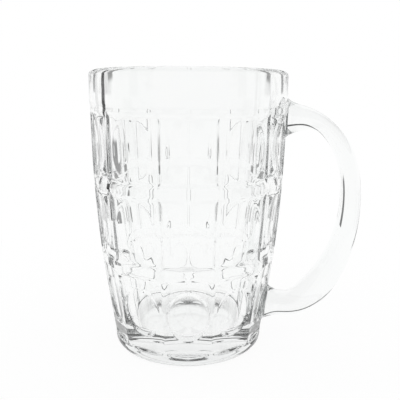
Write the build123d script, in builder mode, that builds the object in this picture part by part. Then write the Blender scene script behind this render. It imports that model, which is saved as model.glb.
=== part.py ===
# Dimpled glass beer mug: a pressed glass cup and a handle welded to it.
# Millimetres, +Z up, origin on the cup's axis in the resting plane, +X towards the handle.
import os
from math import cos, radians, sin, sqrt, tan

from build123d import *

# Cup, outside
rim_diameter = 92.0
cup_height = 131.0
band_height = 16.0
band_step = 0.35
lip_round = 2.2
wall_bulge = 2.5
foot_diameter = 72.6
foot_height = 5.5
foot_round = 3.6
recess_diameter = 54.0
recess_depth = 1.4

# Cup, inside
mouth_diameter = 78.4
straight_depth = 48.0
waist_diameter = 74.8
heel_diameter = 59.0
floor_thickness = 13.5
floor_round = 2.5

# Panels, the same number in each of three rows
panel_count = 11
ridge_width = 1.5
ridge_tip_width = 0.2
ridge_tip_length = 3.5
window_depth = 0.6
core_thickness = 4.0
upper_row_top = 113.0
upper_row_bottom = 82.6
middle_row_top = 78.9
middle_row_bottom = 47.2
dish_width = 18.5
dish_hollow = 0.34
dish_margin = 1.0
facet_top = 41.5
facet_slant = 60.0
facet_ridge = 1.0
round_width = 19.4
round_length = 23.0
round_depth = 0.6
round_height = 25.4

# Handle, a bar of oval section on a curved spine
upper_weld_height = 110.2
lower_weld_height = 19.8
weld_tall = 18.0
weld_wide = 17.0
flare_length = 4.5
flare_share = 0.6
upper_bed = 4.4
lower_bed = 4.0
bar_width = 14.5
neck_thickness = 12.6
crown_reach = 58.4
crown_height = 109.2
crown_thickness = 9.0
shoulder_reach = 68.7
shoulder_height = 101.1
shoulder_thickness = 8.2
grip_reach = 76.7
grip_height = 70.5
grip_thickness = 9.4
elbow_reach = 70.0
elbow_height = 40.8
elbow_thickness = 12.7
heel_reach = 60.3
heel_height = 26.4
heel_thickness = 13.7
toe_reach = 51.3
toe_height = 20.3
toe_thickness = 12.2

# Sizes that follow from the ones above
rim_radius = rim_diameter / 2
foot_radius = foot_diameter / 2
mouth_radius = mouth_diameter / 2
heel_radius = heel_diameter / 2
band_bottom = cup_height - band_height
wall_top_radius = rim_radius - band_step
waist_height = cup_height - straight_depth
half_panel = 180 / panel_count
wall_rise = band_bottom - foot_height
wall_run = wall_top_radius - foot_radius
rows = ((upper_row_top, upper_row_bottom), (middle_row_top, middle_row_bottom))


def wall_radius(height):
    """Outer radius of the round wall at a height: a chord with a bulge."""
    share = (height - foot_height) / wall_rise
    return foot_radius + wall_run * share + 4 * wall_bulge * share * (1 - share)


def half_width(height, ridge):
    """Half the width of a panel between two ridges, at a height on the round wall."""
    return wall_radius(height) * sin(radians(half_panel) - ridge / 2 / wall_radius(height))


def panel_plane(reach, height, lean, angle):
    """Plane through the axis at a panel's middle: origin on the panel, X outwards, Y up along the wall."""
    turn = radians(angle)
    across = Vector(-sin(turn), cos(turn), 0)
    along = Vector(lean * cos(turn), lean * sin(turn), 1)
    return Plane(
        origin=(reach * cos(turn), reach * sin(turn), height), x_dir=across.cross(along), z_dir=across * -1
    )


def face_plane(reach, height, lean, angle):
    """Plane that lies on a panel: Y up along the wall, Z outwards."""
    side = panel_plane(reach, height, lean, angle)
    return Plane(origin=side.origin, x_dir=side.z_dir * -1, z_dir=side.x_dir)


os.makedirs("parts", exist_ok=True)

# Cup: half section turned about the axis, then the panels cut all round
with BuildPart() as mug_body:
    with BuildSketch(Plane.XZ) as half_section:
        with BuildLine() as outline:
            TangentArc((0, recess_depth), (recess_diameter / 2, 0), tangent=(1, 0))
            Line((recess_diameter / 2, 0), (foot_radius - foot_round, 0))
            TangentArc((foot_radius - foot_round, 0), (foot_radius, foot_round), tangent=(1, 0))
            Line((foot_radius, foot_round), (foot_radius, foot_height))
            SagittaArc((foot_radius, foot_height), (wall_top_radius, band_bottom), -wall_bulge)
            Line((wall_top_radius, band_bottom), (rim_radius, band_bottom + band_step))
            Line((rim_radius, band_bottom + band_step), (rim_radius, cup_height - lip_round))
            TangentArc(
                (rim_radius, cup_height - lip_round), (rim_radius - lip_round, cup_height), tangent=(0, 1)
            )
            Line((rim_radius - lip_round, cup_height), (mouth_radius + lip_round, cup_height))
            TangentArc(
                (mouth_radius + lip_round, cup_height),
                (mouth_radius, cup_height - lip_round),
                tangent=(-1, 0),
            )
            bore = Line((mouth_radius, cup_height - lip_round), (waist_diameter / 2, waist_height))
            TangentArc((waist_diameter / 2, waist_height), (heel_radius, floor_thickness), tangent=bore % 1)
            Line((heel_radius, floor_thickness), (0, floor_thickness))
            Line((0, floor_thickness), (0, recess_depth))
        make_face()
        floor_corner = half_section.vertices().sort_by_distance((heel_radius, floor_thickness))[0]
        fillet(floor_corner, floor_round)
    revolve(axis=Axis.Z)
    # Two rows of windows, cut a little too deep, with ridges between them that end in points
    for row_top, row_bottom in rows:
        row_middle = (row_top + row_bottom) / 2
        half_tall = (row_top - row_bottom) / 2
        window_reach = wall_radius(row_middle) * cos(radians(half_panel)) - window_depth
        window_lean = (wall_radius(row_top) - wall_radius(row_bottom)) / (row_top - row_bottom)
        right_side = (
            (half_width(row_bottom, ridge_tip_width), -half_tall),
            (half_width(row_bottom + ridge_tip_length, ridge_width), ridge_tip_length - half_tall),
            (half_width(row_top - ridge_tip_length, ridge_width), half_tall - ridge_tip_length),
            (half_width(row_top, ridge_tip_width), half_tall),
        )
        left_side = [(-x, y) for x, y in reversed(right_side)]
        for k in range(panel_count):
            with BuildSketch(face_plane(window_reach, row_middle, window_lean, half_panel * (2 * k + 1))):
                Polygon(*right_side, *left_side, align=None)
            extrude(amount=rim_radius, mode=Mode.SUBTRACT)
    # A round core gives every window the same depth and a floor that follows the wall
    with BuildSketch(Plane.XZ) as core_section:
        with BuildLine() as core_line:
            floor_low = (foot_radius - window_depth, foot_height)
            floor_high = (wall_top_radius - window_depth, band_bottom)
            back_low = (foot_radius - core_thickness, foot_height)
            back_high = (wall_top_radius - core_thickness, band_bottom)
            SagittaArc(floor_low, floor_high, -wall_bulge)
            Polyline(floor_high, back_high, back_low, floor_low)
        make_face()
    revolve(axis=Axis.Z)
    # One oval dish in each window, cut by a barrel that lies along the wall
    for row_top, row_bottom in rows:
        row_middle = (row_top + row_bottom) / 2
        half_dish = (row_top - row_bottom) / 2 - dish_margin
        dish_reach = wall_radius(row_middle) - window_depth
        dish_lean = (wall_radius(row_top) - wall_radius(row_bottom)) / (row_top - row_bottom)
        dish_depth = dish_hollow + dish_reach - sqrt(dish_reach**2 - (dish_width / 2) ** 2)
        barrel_out = ((dish_width / 2) ** 2 + dish_hollow**2) / (2 * dish_hollow) - dish_depth
        for k in range(panel_count):
            dish_plane = panel_plane(dish_reach, row_middle, dish_lean, half_panel * (2 * k + 1))
            with BuildSketch(dish_plane) as barrel_half:
                with BuildLine() as barrel_line:
                    ThreePointArc((0, half_dish), (-dish_depth, 0), (0, -half_dish))
                    Line((0, -half_dish), (barrel_out, -half_dish))
                    Line((barrel_out, -half_dish), (barrel_out, half_dish))
                    Line((barrel_out, half_dish), (0, half_dish))
                make_face()
            barrel_axis = Axis(dish_plane.from_local_coords((barrel_out, 0, 0)), dish_plane.y_dir)
            revolve(axis=barrel_axis, mode=Mode.SUBTRACT)
    # Flat facets above the foot, each with one round recess
    facet_low = foot_radius * cos(radians(half_panel) - facet_ridge / 2 / foot_radius)
    facet_high = wall_radius(facet_top) * cos(radians(half_panel) - facet_ridge / 2 / wall_radius(facet_top))
    facet_lean = (facet_high - facet_low) / (facet_top - foot_height)
    facet_mouth = facet_high + band_height
    for k in range(panel_count):
        facet_plane = panel_plane(0, 0, 0, half_panel * (2 * k + 1))
        with BuildSketch(facet_plane) as facet_side:
            with BuildLine() as facet_line:
                Polyline(
                    (facet_low, foot_height),
                    (facet_mouth, foot_height),
                    (facet_mouth, facet_top + band_height * tan(radians(facet_slant))),
                    (facet_high, facet_top),
                    close=True,
                )
            make_face()
        extrude(amount=rim_radius * sin(radians(half_panel)), both=True, mode=Mode.SUBTRACT)
    round_reach = facet_low + facet_lean * (round_height - foot_height) - round_depth
    for k in range(panel_count):
        with BuildSketch(face_plane(round_reach, round_height, facet_lean, half_panel * (2 * k + 1))):
            Ellipse(round_width / 2, round_length / 2)
        extrude(amount=2 * round_depth, mode=Mode.SUBTRACT)
mug_body.part.label = "mug_body"
export_step(mug_body.part, "parts/mug_body.step")

# Handle: oval sections along the spine, with the cup cut away where the ends are welded to it
upper_wall = wall_radius(upper_weld_height)
lower_wall = wall_radius(lower_weld_height)
bends = (
    (upper_wall + flare_length, upper_weld_height, neck_thickness),
    (crown_reach, crown_height, crown_thickness),
    (shoulder_reach, shoulder_height, shoulder_thickness),
    (grip_reach, grip_height, grip_thickness),
    (elbow_reach, elbow_height, elbow_thickness),
    (heel_reach, heel_height, heel_thickness),
    (toe_reach, toe_height, toe_thickness),
    (lower_wall + flare_length, lower_weld_height, toe_thickness),
)
flare = ((flare_length / 2, flare_share**2), (0, flare_share))
with BuildPart() as handle:
    with BuildLine(Plane.XZ) as spine_line:
        spine = Spline(
            (upper_wall, upper_weld_height), *[(x, z) for x, z, _ in bends], (lower_wall, lower_weld_height)
        )
    # Each station is a point on the spine, the direction there, and the section's height and width
    stations = []
    for out, grow in ((-upper_bed, 1), *reversed(flare)):
        place = Vector(upper_wall + out, 0, upper_weld_height)
        tall = neck_thickness + (weld_tall - neck_thickness) * grow
        stations.append((place, Vector(1, 0, 0), tall, bar_width + (weld_wide - bar_width) * grow))
    shares = [spine.param_at_point(Vector(x, 0, z)) for x, z, _ in bends]
    for k in range(len(bends)):
        stations.append((spine @ shares[k], spine % shares[k], bends[k][2], bar_width))
        if k + 1 < len(bends):
            share = (shares[k] + shares[k + 1]) / 2
            stations.append((spine @ share, spine % share, (bends[k][2] + bends[k + 1][2]) / 2, bar_width))
    for out, grow in (*flare, (-lower_bed, 1)):
        place = Vector(lower_wall + out, 0, lower_weld_height)
        tall = toe_thickness + (weld_tall - toe_thickness) * grow
        stations.append((place, Vector(-1, 0, 0), tall, bar_width + (weld_wide - bar_width) * grow))
    for place, direction, tall, wide in stations:
        with BuildSketch(Plane(origin=place, x_dir=(0, 1, 0), z_dir=direction)) as section:
            Ellipse(wide / 2, tall / 2)
    loft()
    add(mug_body.part, mode=Mode.SUBTRACT)
handle.part.label = "handle"
export_step(handle.part, "parts/handle.step")
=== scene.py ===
"""Dimpled glass beer mug on a pale floor, seen from the photograph's viewpoint."""
import math

import bpy
import numpy as np
from mathutils import Matrix, Vector


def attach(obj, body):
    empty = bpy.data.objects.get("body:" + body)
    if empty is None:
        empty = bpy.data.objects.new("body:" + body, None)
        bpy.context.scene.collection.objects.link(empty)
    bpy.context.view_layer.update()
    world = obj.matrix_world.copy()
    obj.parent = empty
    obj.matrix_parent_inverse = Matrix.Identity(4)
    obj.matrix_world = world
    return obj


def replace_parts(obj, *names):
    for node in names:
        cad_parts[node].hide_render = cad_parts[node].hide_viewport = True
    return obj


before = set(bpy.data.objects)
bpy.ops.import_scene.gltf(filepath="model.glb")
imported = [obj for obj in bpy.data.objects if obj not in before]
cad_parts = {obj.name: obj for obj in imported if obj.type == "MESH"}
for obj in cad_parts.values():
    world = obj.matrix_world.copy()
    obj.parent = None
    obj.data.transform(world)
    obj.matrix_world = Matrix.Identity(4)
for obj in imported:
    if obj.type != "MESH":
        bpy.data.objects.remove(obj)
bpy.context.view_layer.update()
scene = bpy.context.scene

MM = 0.001
PANELS = 11
HALF = math.pi / PANELS  # half the angle of one panel

# Cup, in millimetres: drinking band and lip
RIM_R, HEIGHT, LIP = 45.97, 131.0, 2.2
BAND_LOW, BAND_STEP, BAND_RUN = 115.0, 0.35, 2.0
# Foot, and the shallow dome under it
FOOT_R, FOOT_H, FOOT_ROUND = 36.3, 5.5, 3.6
RECESS_R, RECESS_D = 27.0, 1.4
# Wall, bore and floor
BULGE = 2.5
MOUTH_R, WAIST_R, WAIST_Z = 39.2, 37.4, 83.0
HEEL_R, FLOOR_Z, FLOOR_ROUND = 29.5, 13.5, 2.5
# Two rows of windows (top, low end), the ridges between them, and the dish in each floor
ROWS = ((113.0, 82.6), (78.9, 47.2))
RIDGE, TIP, POINT = 1.5, 0.2, 3.5
WIN_D, WIN_EDGE, WIN_END = 0.6, 0.8, 2.5
DISH_W, DISH_MARGIN, DISH_D = 19.0, 1.0, 1.4
# Leaning facets of the lower row, how far they reach, their toe above the foot, their edges
FACET_TOP, FACET_RIDGE, FACET_SLANT = 41.5, 1.0, 60.0
FACET_FROM, FACET_OVER = 2.0, 6.0
TOE_H, TOE_SLOPE = 0.9, 1.6
FACET_EDGE, UNCUT = 0.35, 99.0
# Round recess in each facet
ROUND_Z, ROUND_W, ROUND_T, ROUND_D, ROUND_EDGE = 25.4, 19.4, 23.0, 0.6, 0.8

# Grid of the cup: columns in a panel and how far they pack to the ridges, points of the
# rounded corners, dome, taper, sweep and floor, then the wall's stretches (upper end, rows)
PANEL_COLS, PANEL_PACK = 48, 0.76
CORNER_PTS, DOME_PTS, TAPER_PTS, SWEEP_PTS, HEEL_PTS, FLOOR_PTS = 7, 5, 4, 13, 10, 4
WALL_ROWS = (
    (7.5, 8), (13.0, 5), (38.0, 38), (50.5, 22), (75.5, 16),
    (86.0, 20), (109.5, 15), (116.5, 12), (HEIGHT - LIP, 3),
)


def wall(z):
    """Radius of the round wall: a straight chord from foot to band, plus a parabolic bulge."""
    s = (z - FOOT_H) / (BAND_LOW - FOOT_H)
    return FOOT_R + (RIM_R - BAND_STEP - FOOT_R) * s + 4 * BULGE * s * (1 - s)


def soft_min(a, b, k):
    """The smaller of two fields, with the corner between them rounded over a band k wide."""
    h = np.clip(0.5 + 0.5 * (b - a) / k, 0, 1)
    return b + (a - b) * h - k * h * (1 - h)


def sunk(inside, edge):
    """0 outside an outline, 1 from a distance edge inside it, and an S-shaped slope between."""
    t = np.clip(inside / edge, 0, 1)
    return t * t * (3 - 2 * t)


def crest(z):
    """Outer radius with no panels cut: round foot, bulged wall, small step to the band."""
    body = np.where(z < FOOT_H, FOOT_R, wall(np.clip(z, FOOT_H, BAND_LOW)))
    return body + BAND_STEP * sunk(z - BAND_LOW, BAND_RUN)


def outer_radius(theta, z):
    """Outer radius of the cup at each angle and height.

    Starts from the uncut crest. In the two upper rows a window of one depth is sunk between
    ridges that end in points, and an oval bowl, a paraboloid, is taken from its floor. Each
    lower panel is a leaning flat plane with a sloping top and toe, and a rounder oval of one
    depth is sunk in it. The edges of sunk floors are S-shaped slopes.
    """
    phi = (theta + 2 * math.pi) % (2 * HALF) - HALF
    c, s = np.cos(phi), np.sin(phi)
    r = crest(z)
    rw = wall(z)
    y = np.abs(rw * s)
    for top, low in ROWS:
        mid, tall = (top + low) / 2, (top - low) / 2
        end = tall - np.abs(z - mid)
        land = TIP + (RIDGE - TIP) * np.clip(end / POINT, 0, 1)
        inside = rw * np.sin(HALF - land / 2 / rw) - y
        r = r - WIN_D * np.minimum(sunk(inside, WIN_EDGE), sunk(end, WIN_END))
        off = np.hypot(y / (DISH_W / 2), (z - mid) / (tall - DISH_MARGIN))
        r = r - DISH_D * np.clip(1 - off ** 2, 0, 1)
    low_r, top_r = FOOT_R, wall(FACET_TOP)
    low_face = low_r * math.cos(HALF - FACET_RIDGE / 2 / low_r)
    top_face = top_r * math.cos(HALF - FACET_RIDGE / 2 / top_r)
    face = low_face + (top_face - low_face) / (FACET_TOP - FOOT_H) * (z - FOOT_H)
    slant = np.maximum(z - FACET_TOP, 0) / math.tan(math.radians(FACET_SLANT))
    toe = TOE_SLOPE * np.maximum(FOOT_H + TOE_H - z, 0)
    reach = (z > FACET_FROM) & (z < FACET_TOP + FACET_OVER)
    r = soft_min(r, np.where(reach, (face + slant + toe) / c, UNCUT), FACET_EDGE)
    a, b = ROUND_W / 2, ROUND_T / 2
    off = np.hypot(face * s / c / a, (z - ROUND_Z) / b)
    return r - ROUND_D * sunk((1 - off) * a, ROUND_EDGE)


def spread(lo, hi, n, power):
    """n values from lo to hi on a sine, packed towards both ends as power grows from 0 to 1."""
    t = np.linspace(-1, 1, n)
    a = math.pi / 2 * power
    return lo + (hi - lo) * (0.5 + 0.5 * np.sin(a * t) / math.sin(a))


def arc(cx, cz, r, a0, a1, n):
    """n points of a circle in the half section, from angle a0 to a1 in degrees."""
    a = np.radians(np.linspace(a0, a1, n))
    return np.c_[cx + r * np.cos(a), cz + r * np.sin(a)]


def inner_section():
    """Half section of the bore from the lip down to the middle of the floor.

    A straight taper, then a circle that leaves it smoothly and reaches the heel, then a
    rounded corner that is tangent to that circle and to the flat floor.
    """
    slope = (MOUTH_R - WAIST_R) / (HEIGHT - LIP - WAIST_Z)
    down = np.array([-slope, -1.0]) / math.hypot(slope, 1)
    side = np.array([down[1], -down[0]])
    chord = np.array([HEEL_R - WAIST_R, FLOOR_Z - WAIST_Z])
    rad = (chord @ chord) / (2 * chord @ side)
    mid = np.array([WAIST_R, WAIST_Z]) + rad * side
    gap = rad - FLOOR_ROUND
    cz = FLOOR_Z + FLOOR_ROUND
    cx = mid[0] + math.sqrt(gap ** 2 - (cz - mid[1]) ** 2)
    touch = math.degrees(math.atan2(cz - mid[1], cx - mid[0]))
    start = math.degrees(math.atan2(WAIST_Z - mid[1], WAIST_R - mid[0]))
    z = np.linspace(HEIGHT - LIP, WAIST_Z, TAPER_PTS)[1:]
    taper = np.c_[WAIST_R + slope * (z - WAIST_Z), z]
    sweep = arc(mid[0], mid[1], rad, start, touch, SWEEP_PTS)[1:]
    heel = arc(cx, cz, FLOOR_ROUND, touch, -90, HEEL_PTS)[1:]
    floor_r = np.linspace(cx, 0, FLOOR_PTS)[1:]
    return np.vstack([taper, sweep, heel, np.c_[floor_r, np.full(len(floor_r), FLOOR_Z)]])


def new_mesh(name, verts, faces, marks=None):
    """Smooth-shaded mesh object from vertex rows in metres and faces as index rows.

    marks, where given, holds a material index per face.
    """
    mesh = bpy.data.meshes.new(name)
    mesh.from_pydata(verts.tolist(), [], faces)
    mesh.polygons.foreach_set("use_smooth", np.ones(len(mesh.polygons), bool))
    if marks is not None:
        mesh.polygons.foreach_set("material_index", marks.astype(np.int32))
    mesh.update()
    obj = bpy.data.objects.new(name, mesh)
    scene.collection.objects.link(obj)
    return obj


def closed_faces(rows, cols):
    """Faces of a grid that is closed round its columns and runs to a pole at each end.

    First the quads between neighbouring rows, then a fan of triangles at the first row and
    one at the last. The two poles are the vertices that follow the grid's.
    """
    i = np.arange(rows - 1)[:, None] * cols
    j = np.arange(cols)
    k = (j + 1) % cols
    quads = np.stack([i + j, i + k, i + cols + k, i + cols + j], -1).reshape(-1, 4)
    first = np.stack([np.full(cols, rows * cols), k, j], -1)
    end = (rows - 1) * cols
    last = np.stack([end + j, end + k, np.full(cols, rows * cols + 1)], -1)
    return quads.tolist() + first.tolist() + last.tolist()


def build_cup():
    """The cup as one closed grid.

    Rows follow the half section from the middle of the underside, round the foot, up the
    panelled wall, over the lip and down the bore to the middle of the floor. Columns go round
    the axis, packed closer at the ridges. The radius of the wall rows is outer_radius, and
    the other rows are circles.
    """
    t = spread(-HALF, HALF, PANEL_COLS + 1, PANEL_PACK)[:-1]
    theta = (np.arange(PANELS)[:, None] * 2 * HALF + HALF + t[None, :]).ravel()
    cols = len(theta)
    dome_r = (RECESS_R ** 2 + RECESS_D ** 2) / (2 * RECESS_D)
    rr = np.linspace(0, RECESS_R, DOME_PTS)[1:]
    under = np.c_[rr, np.sqrt(dome_r ** 2 - rr ** 2) - dome_r + RECESS_D]
    ring = np.array([[FOOT_R - FOOT_ROUND, 0.0]])
    foot = arc(FOOT_R - FOOT_ROUND, FOOT_ROUND, FOOT_ROUND, -90, 0, CORNER_PTS)[1:]
    starts = (FOOT_ROUND,) + tuple(top for top, _ in WALL_ROWS)
    zw = np.concatenate([
        np.linspace(low, top, n + 1)[1:] for low, (top, n) in zip(starts, WALL_ROWS)
    ])
    lip_out = arc(RIM_R - LIP, HEIGHT - LIP, LIP, 0, 90, CORNER_PTS)[1:]
    lip_in = arc(MOUTH_R + LIP, HEIGHT - LIP, LIP, 90, 180, CORNER_PTS)
    below = np.vstack([under, ring, foot])
    above = np.vstack([lip_out, lip_in, inner_section()[:-1]])
    radii = np.vstack([
        np.repeat(below[:, :1], cols, 1),
        outer_radius(theta[None, :], zw[:, None]),
        np.repeat(above[:, :1], cols, 1),
    ])
    heights = np.repeat(np.r_[below[:, 1], zw, above[:, 1]][:, None], cols, 1)
    verts = np.stack([radii * np.cos(theta), radii * np.sin(theta), heights], -1)
    poles = [[0, 0, RECESS_D], [0, 0, FLOOR_Z]]
    verts = np.vstack([verts.reshape(-1, 3), poles]) * MM
    return new_mesh("mug_glass", verts, closed_faces(len(radii), cols))


# Handle, in millimetres: heights of the welds, the bar's thickness there, the size of the
# flared ends, and the bends of the spine between them (out, up, thickness)
UP_Z, LOW_Z, UP_T, LOW_T = 110.2, 19.8, 12.6, 12.2
WELD_TALL, WELD_WIDE, FLARE, BAR_W = 18.0, 17.0, 4.5, 14.5
BENDS = np.array([
    (58.4, 109.2, 9.0), (68.7, 101.1, 8.2), (76.68, 70.5, 9.4),
    (70.0, 40.8, 12.7), (60.3, 26.4, 13.7), (51.3, 20.3, 12.2),
])
# Length of the trumpet and of the pull to the cup, in flares, and how sharply each falls off
GROW_RUN, GROW_FALL, PULL_RUN, PULL_FALL = 1.6, 2.2, 1.3, 1.5
# Grid of the bar: rows and how far they pack to the welds, columns, rings of an end cap
BAR_ROWS, BAR_PACK, BAR_COLS, CAP_RINGS = 170, 0.75, 96, 11
MEET_ROUNDS = 12


def spline(s, p, q):
    """Natural cubic spline through points p at parameters s, read at q, with its slope."""
    n = len(s)
    h = np.diff(s)
    a = np.zeros((n, n))
    b = np.zeros((n, p.shape[1]))
    a[0, 0] = a[-1, -1] = 1
    i = np.arange(1, n - 1)
    a[i, i - 1], a[i, i], a[i, i + 1] = h[:-1], 2 * (h[:-1] + h[1:]), h[1:]
    d = np.diff(p, axis=0) / h[:, None]
    b[1:-1] = 6 * np.diff(d, axis=0)
    m = np.linalg.solve(a, b)
    k = np.clip(np.searchsorted(s, q) - 1, 0, n - 2)
    t = (q - s[k])[:, None]
    hk = h[k][:, None]
    c1 = d[k] - hk * (2 * m[k] + m[k + 1]) / 6
    c3 = (m[k + 1] - m[k]) / (6 * hk)
    return p[k] + t * (c1 + t * (m[k] / 2 + t * c3)), c1 + t * (m[k] + 3 * t * c3)


def on_cup(y, z):
    """Distance out along +X at which the cup's outer surface is met, at each y and z.

    The angle depends on the radius and the radius on the angle, so a few rounds settle both.
    """
    r = wall(z)
    for _ in range(MEET_ROUNDS):
        r = outer_radius(np.arcsin(np.clip(y / r, -1, 1)), z)
    return np.sqrt(np.maximum(r ** 2 - y ** 2, 0))


def build_handle():
    """The handle as one closed tube.

    Oval sections are carried along a cubic spline. Close to each weld the section grows as a
    trumpet and its end ring is drawn out to the cup's surface, so that the closed end caps
    lie on the glass they are welded to.
    """
    up, low = float(wall(UP_Z)), float(wall(LOW_Z))
    head = np.array([(up, UP_Z, UP_T), (up + FLARE, UP_Z, UP_T)])
    tail = np.array([(low + FLARE, LOW_Z, LOW_T), (low, LOW_Z, LOW_T)])
    pts = np.vstack([head, BENDS, tail])
    s = np.r_[0, np.cumsum(np.linalg.norm(np.diff(pts[:, :2], axis=0), axis=1))]
    q = spread(0, s[-1], BAR_ROWS, BAR_PACK)
    p, slope = spline(s, pts, q)
    thick = p[:, 2]
    run = slope[:, :2] / np.linalg.norm(slope[:, :2], axis=1)[:, None]
    edge = np.minimum(q, s[-1] - q)
    grow = np.clip(1 - edge / (FLARE * GROW_RUN), 0, 1) ** GROW_FALL
    tall = thick + (WELD_TALL - thick) * grow
    wide = BAR_W + (WELD_WIDE - BAR_W) * grow
    a = np.linspace(0, 2 * math.pi, BAR_COLS, endpoint=False)
    across = np.stack([-run[:, 1], run[:, 0]], -1)
    v = np.sin(a)[None, :] * tall[:, None] / 2
    x = p[:, :1] + across[:, :1] * v
    y = np.cos(a)[None, :] * wide[:, None] / 2
    z = p[:, 1:2] + across[:, 1:] * v
    pull = np.clip(1 - edge / (FLARE * PULL_RUN), 0, 1)[:, None] ** PULL_FALL
    upper = (q < s[-1] / 2)[:, None]
    x = x + pull * np.where(upper, on_cup(y[:1], z[:1]) - up, on_cup(y[-1:], z[-1:]) - low)
    share = np.linspace(1, 0, CAP_RINGS + 2)[1:-1, None]
    caps = []
    for ring, weld_z in ((0, UP_Z), (-1, LOW_Z)):
        cap_y = y[ring] * share
        cap_z = weld_z + (z[ring] - weld_z) * share
        caps.append(np.stack([on_cup(cap_y, cap_z), cap_y, cap_z], -1))
    grid = np.concatenate([caps[0][::-1], np.stack([x, y, z], -1), caps[1]])
    rows = len(grid)
    poles = [(float(on_cup(0.0, weld_z)), 0, weld_z) for weld_z in (UP_Z, LOW_Z)]
    verts = np.vstack([grid.reshape(-1, 3), poles]) * MM
    row = np.repeat(np.arange(rows - 1), BAR_COLS)
    in_cap = (row < CAP_RINGS) | (row >= rows - 1 - CAP_RINGS)
    marks = np.r_[in_cap, np.ones(2 * BAR_COLS, bool)]
    return new_mesh("handle_glass", verts, closed_faces(rows, BAR_COLS), marks)


GLASS_IOR = 1.5
WAVE_SCALE, WAVE_STRENGTH, WAVE_DEPTH = 35.0, 0.02, 0.001
TAKEN_COLOUR, TAKEN_DENSITY = (0.8, 0.81, 0.81, 1.0), 8.0


def thicken(nt, out):
    """Glass takes up a little light along the path in it, so thick places are a shade darker."""
    body = nt.nodes.new("ShaderNodeVolumeAbsorption")
    body.inputs["Color"].default_value = TAKEN_COLOUR
    body.inputs["Density"].default_value = TAKEN_DENSITY
    nt.links.new(body.outputs[0], out.inputs["Volume"])


def glass(name, tint):
    """Clear glass: full transmission, with a faint waviness and a faint change of tint.

    Both follow one noise on object coordinates.
    """
    mat = bpy.data.materials.new(name)
    mat.use_nodes = True
    nt = mat.node_tree
    b = nt.nodes["Principled BSDF"]
    b.inputs["Transmission Weight"].default_value = 1.0
    b.inputs["IOR"].default_value = GLASS_IOR
    b.inputs["Roughness"].default_value = 0.0
    co = nt.nodes.new("ShaderNodeTexCoord")
    noise = nt.nodes.new("ShaderNodeTexNoise")
    noise.inputs["Scale"].default_value = WAVE_SCALE
    noise.inputs["Detail"].default_value = 1.0
    nt.links.new(co.outputs["Object"], noise.inputs["Vector"])
    mix = nt.nodes.new("ShaderNodeMix")
    mix.data_type = "RGBA"
    mix.inputs[6].default_value = tint
    mix.inputs[7].default_value = (1.0, 1.0, 1.0, 1.0)
    nt.links.new(noise.outputs["Fac"], mix.inputs[0])
    nt.links.new(mix.outputs[2], b.inputs["Base Color"])
    bump = nt.nodes.new("ShaderNodeBump")
    bump.inputs["Strength"].default_value = WAVE_STRENGTH
    bump.inputs["Distance"].default_value = WAVE_DEPTH
    nt.links.new(noise.outputs["Fac"], bump.inputs["Height"])
    nt.links.new(bump.outputs["Normal"], b.inputs["Normal"])
    thicken(nt, nt.nodes["Material Output"])
    return mat


def weld_material():
    """The faces where two pieces of glass have melted together: nothing is seen there."""
    mat = bpy.data.materials.new("weld")
    mat.use_nodes = True
    nt = mat.node_tree
    nt.nodes.clear()
    out = nt.nodes.new("ShaderNodeOutputMaterial")
    clear = nt.nodes.new("ShaderNodeBsdfTransparent")
    nt.links.new(clear.outputs[0], out.inputs["Surface"])
    thicken(nt, out)
    return mat


cup = build_cup()
cup.data.materials.append(glass("pressed_glass", (0.985, 0.995, 0.99, 1.0)))
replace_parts(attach(cup, "root"), "mug_body")

bar = build_handle()
bar.data.materials.append(glass("handle_glass", (0.98, 0.995, 0.99, 1.0)))
bar.data.materials.append(weld_material())
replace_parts(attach(bar, "root"), "handle")

# Floor, in metres: a round pale sheet just under the foot. It keeps the mug's shadow and
# turns plain white towards its edge
FLOOR_R, FLOOR_DROP, FLOOR_SIDES = 0.24, 2e-5, 96
FADE_FROM, FADE_TO = 0.4 * FLOOR_R, 0.95 * FLOOR_R
GLOW_MIDDLE, GLOW_EDGE = 0.94, 1.0

spin = np.linspace(0, 2 * math.pi, FLOOR_SIDES, endpoint=False)
drop = np.full(FLOOR_SIDES, -FLOOR_DROP)
rim = np.c_[FLOOR_R * np.cos(spin), FLOOR_R * np.sin(spin), drop]
floor_mesh = bpy.data.meshes.new("floor")
floor_mesh.from_pydata(rim.tolist(), [], [list(range(FLOOR_SIDES))])
floor = bpy.data.objects.new("floor", floor_mesh)
scene.collection.objects.link(floor)
pale = bpy.data.materials.new("pale_floor")
pale.use_nodes = True
nt = pale.node_tree
nt.nodes.clear()
sheet = nt.nodes.new("ShaderNodeBsdfDiffuse")
sheet.inputs["Color"].default_value = (0.97, 0.97, 0.97, 1.0)
glow = nt.nodes.new("ShaderNodeEmission")
both = nt.nodes.new("ShaderNodeMixShader")
spot = nt.nodes.new("ShaderNodeTexCoord")
reach = nt.nodes.new("ShaderNodeVectorMath")
reach.operation = "LENGTH"
fade = nt.nodes.new("ShaderNodeMapRange")
fade.inputs["From Min"].default_value = FADE_FROM
fade.inputs["From Max"].default_value = FADE_TO
fade.inputs["To Min"].default_value = GLOW_MIDDLE
fade.inputs["To Max"].default_value = GLOW_EDGE
done = nt.nodes.new("ShaderNodeOutputMaterial")
nt.links.new(spot.outputs["Object"], reach.inputs[0])
nt.links.new(reach.outputs["Value"], fade.inputs["Value"])
nt.links.new(fade.outputs["Result"], both.inputs[0])
nt.links.new(sheet.outputs[0], both.inputs[1])
nt.links.new(glow.outputs[0], both.inputs[2])
nt.links.new(both.outputs[0], done.inputs["Surface"])
floor_mesh.materials.append(pale)

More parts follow.
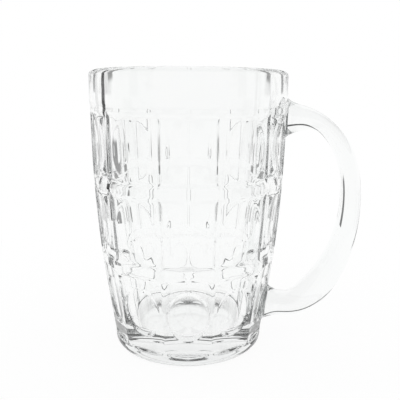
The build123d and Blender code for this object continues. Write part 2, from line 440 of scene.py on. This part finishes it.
# Room: plain white to the camera and on the floor. In and through the glass it also has dark
# cards, which draw the dark lines of clear glass. Each card: azimuth from and to, in degrees
# from straight ahead of the camera with left positive, height from and to, soft edge, darkness
AHEAD = math.radians(97.0)
CARDS = (
    (52, 58, -90, 90, 1.5, 1.0),
    (26, 32, -40, -7, 2, 0.85),
    (-32, -26, -40, -7, 2, 0.85),
    (62, 72, -40, -7, 3, 0.7),
    (-72, -62, -40, -7, 3, 0.7),
    (105, 115, -40, -7, 3, 0.7),
    (-115, -105, -40, -7, 3, 0.7),
    (-190, 190, 15, 18.5, 1, 0.95),
    (45, 190, 24, 95, 8, 0.95),
    (-190, -45, 24, 95, 8, 0.95),
    (90, 190, -90, 20, 15, 0.15),
    (-190, -90, -90, 20, 15, 0.15),
)

world = bpy.data.worlds.new("room")
scene.world = world
world.use_nodes = True
nt = world.node_tree
nt.nodes.clear()
out = nt.nodes.new("ShaderNodeOutputWorld")
white = nt.nodes.new("ShaderNodeBackground")
white.inputs["Color"].default_value = (1, 1, 1, 1)
white.inputs["Strength"].default_value = 1.0
seen = nt.nodes.new("ShaderNodeBackground")
seen.inputs["Strength"].default_value = 1.0
pick = nt.nodes.new("ShaderNodeMixShader")
path = nt.nodes.new("ShaderNodeLightPath")
either = nt.nodes.new("ShaderNodeMath")
either.operation = "MAXIMUM"
nt.links.new(path.outputs["Is Glossy Ray"], either.inputs[0])
nt.links.new(path.outputs["Is Transmission Ray"], either.inputs[1])
nt.links.new(either.outputs[0], pick.inputs[0])
nt.links.new(white.outputs[0], pick.inputs[1])
nt.links.new(seen.outputs[0], pick.inputs[2])
nt.links.new(pick.outputs[0], out.inputs["Surface"])


def maths(op, a, b=None, clamp=False):
    """A math node of the room, fed with numbers or sockets."""
    n = nt.nodes.new("ShaderNodeMath")
    n.operation = op
    n.use_clamp = clamp
    for i, v in enumerate((a, b)):
        if v is None:
            continue
        if isinstance(v, (int, float)):
            n.inputs[i].default_value = v
        else:
            nt.links.new(v, n.inputs[i])
    return n.outputs[0]


def step_range(value, lo, hi):
    """0 below lo, 1 above hi, and an S-shaped rise between, for angles in degrees."""
    n = nt.nodes.new("ShaderNodeMapRange")
    n.interpolation_type = "SMOOTHSTEP"
    nt.links.new(value, n.inputs["Value"])
    n.inputs["From Min"].default_value = math.radians(lo)
    n.inputs["From Max"].default_value = math.radians(hi)
    return n.outputs["Result"]


def along(a, b, c, d, op):
    """Two products, a times b and c times d, added or subtracted."""
    return maths(op, maths("MULTIPLY", a, b), maths("MULTIPLY", c, d))


ray = nt.nodes.new("ShaderNodeTexCoord")
sep = nt.nodes.new("ShaderNodeSeparateXYZ")
nt.links.new(ray.outputs["Generated"], sep.inputs[0])
east, north = sep.outputs["X"], sep.outputs["Y"]
ahead = along(east, math.cos(AHEAD), north, math.sin(AHEAD), "ADD")
aside = along(north, math.cos(AHEAD), east, math.sin(AHEAD), "SUBTRACT")
turn = maths("ARCTAN2", aside, ahead)
lift = maths("ARCSINE", sep.outputs["Z"])
dark = 0.0
for az0, az1, el0, el1, soft, deep in CARDS:
    card = deep
    for angle, lo, hi in ((turn, az0, az1), (lift, el0, el1)):
        rise = step_range(angle, lo - soft, lo)
        fall = step_range(angle, hi, hi + soft)
        card = maths("MULTIPLY", maths("SUBTRACT", rise, fall), card)
    dark = maths("MAXIMUM", dark, card)
nt.links.new(maths("SUBTRACT", 1.0, dark, clamp=True), seen.inputs["Color"])

# Camera fitted to the photograph: focal length and frame in pixels, place in metres
FOCAL_PX, FRAME_PX, SENSOR = 521.4, 400, 36
TURNED, PITCH, ROLL = math.radians(7.0), math.radians(11.22), math.radians(0.39)
EYE = Vector((0.00557, -0.25, 0.11954))

cam = bpy.data.cameras.new("camera")
cam.lens = FOCAL_PX / FRAME_PX * SENSOR
cam.sensor_width = SENSOR
cam.clip_start = 0.01
eye_obj = bpy.data.objects.new("camera", cam)
scene.collection.objects.link(eye_obj)
eye_obj.matrix_world = (
    Matrix.Translation(Matrix.Rotation(TURNED, 4, "Z") @ EYE)
    @ Matrix.Rotation(TURNED, 4, "Z")
    @ Matrix.Rotation(math.pi / 2 - PITCH, 4, "X")
    @ Matrix.Rotation(ROLL, 4, "Z")
)
scene.camera = eye_obj

scene.view_settings.view_transform = "Standard"
# Light passes many walls of glass before it leaves the mug
scene.cycles.max_bounces = 24
scene.cycles.transmission_bounces = 24
scene.cycles.glossy_bounces = 16
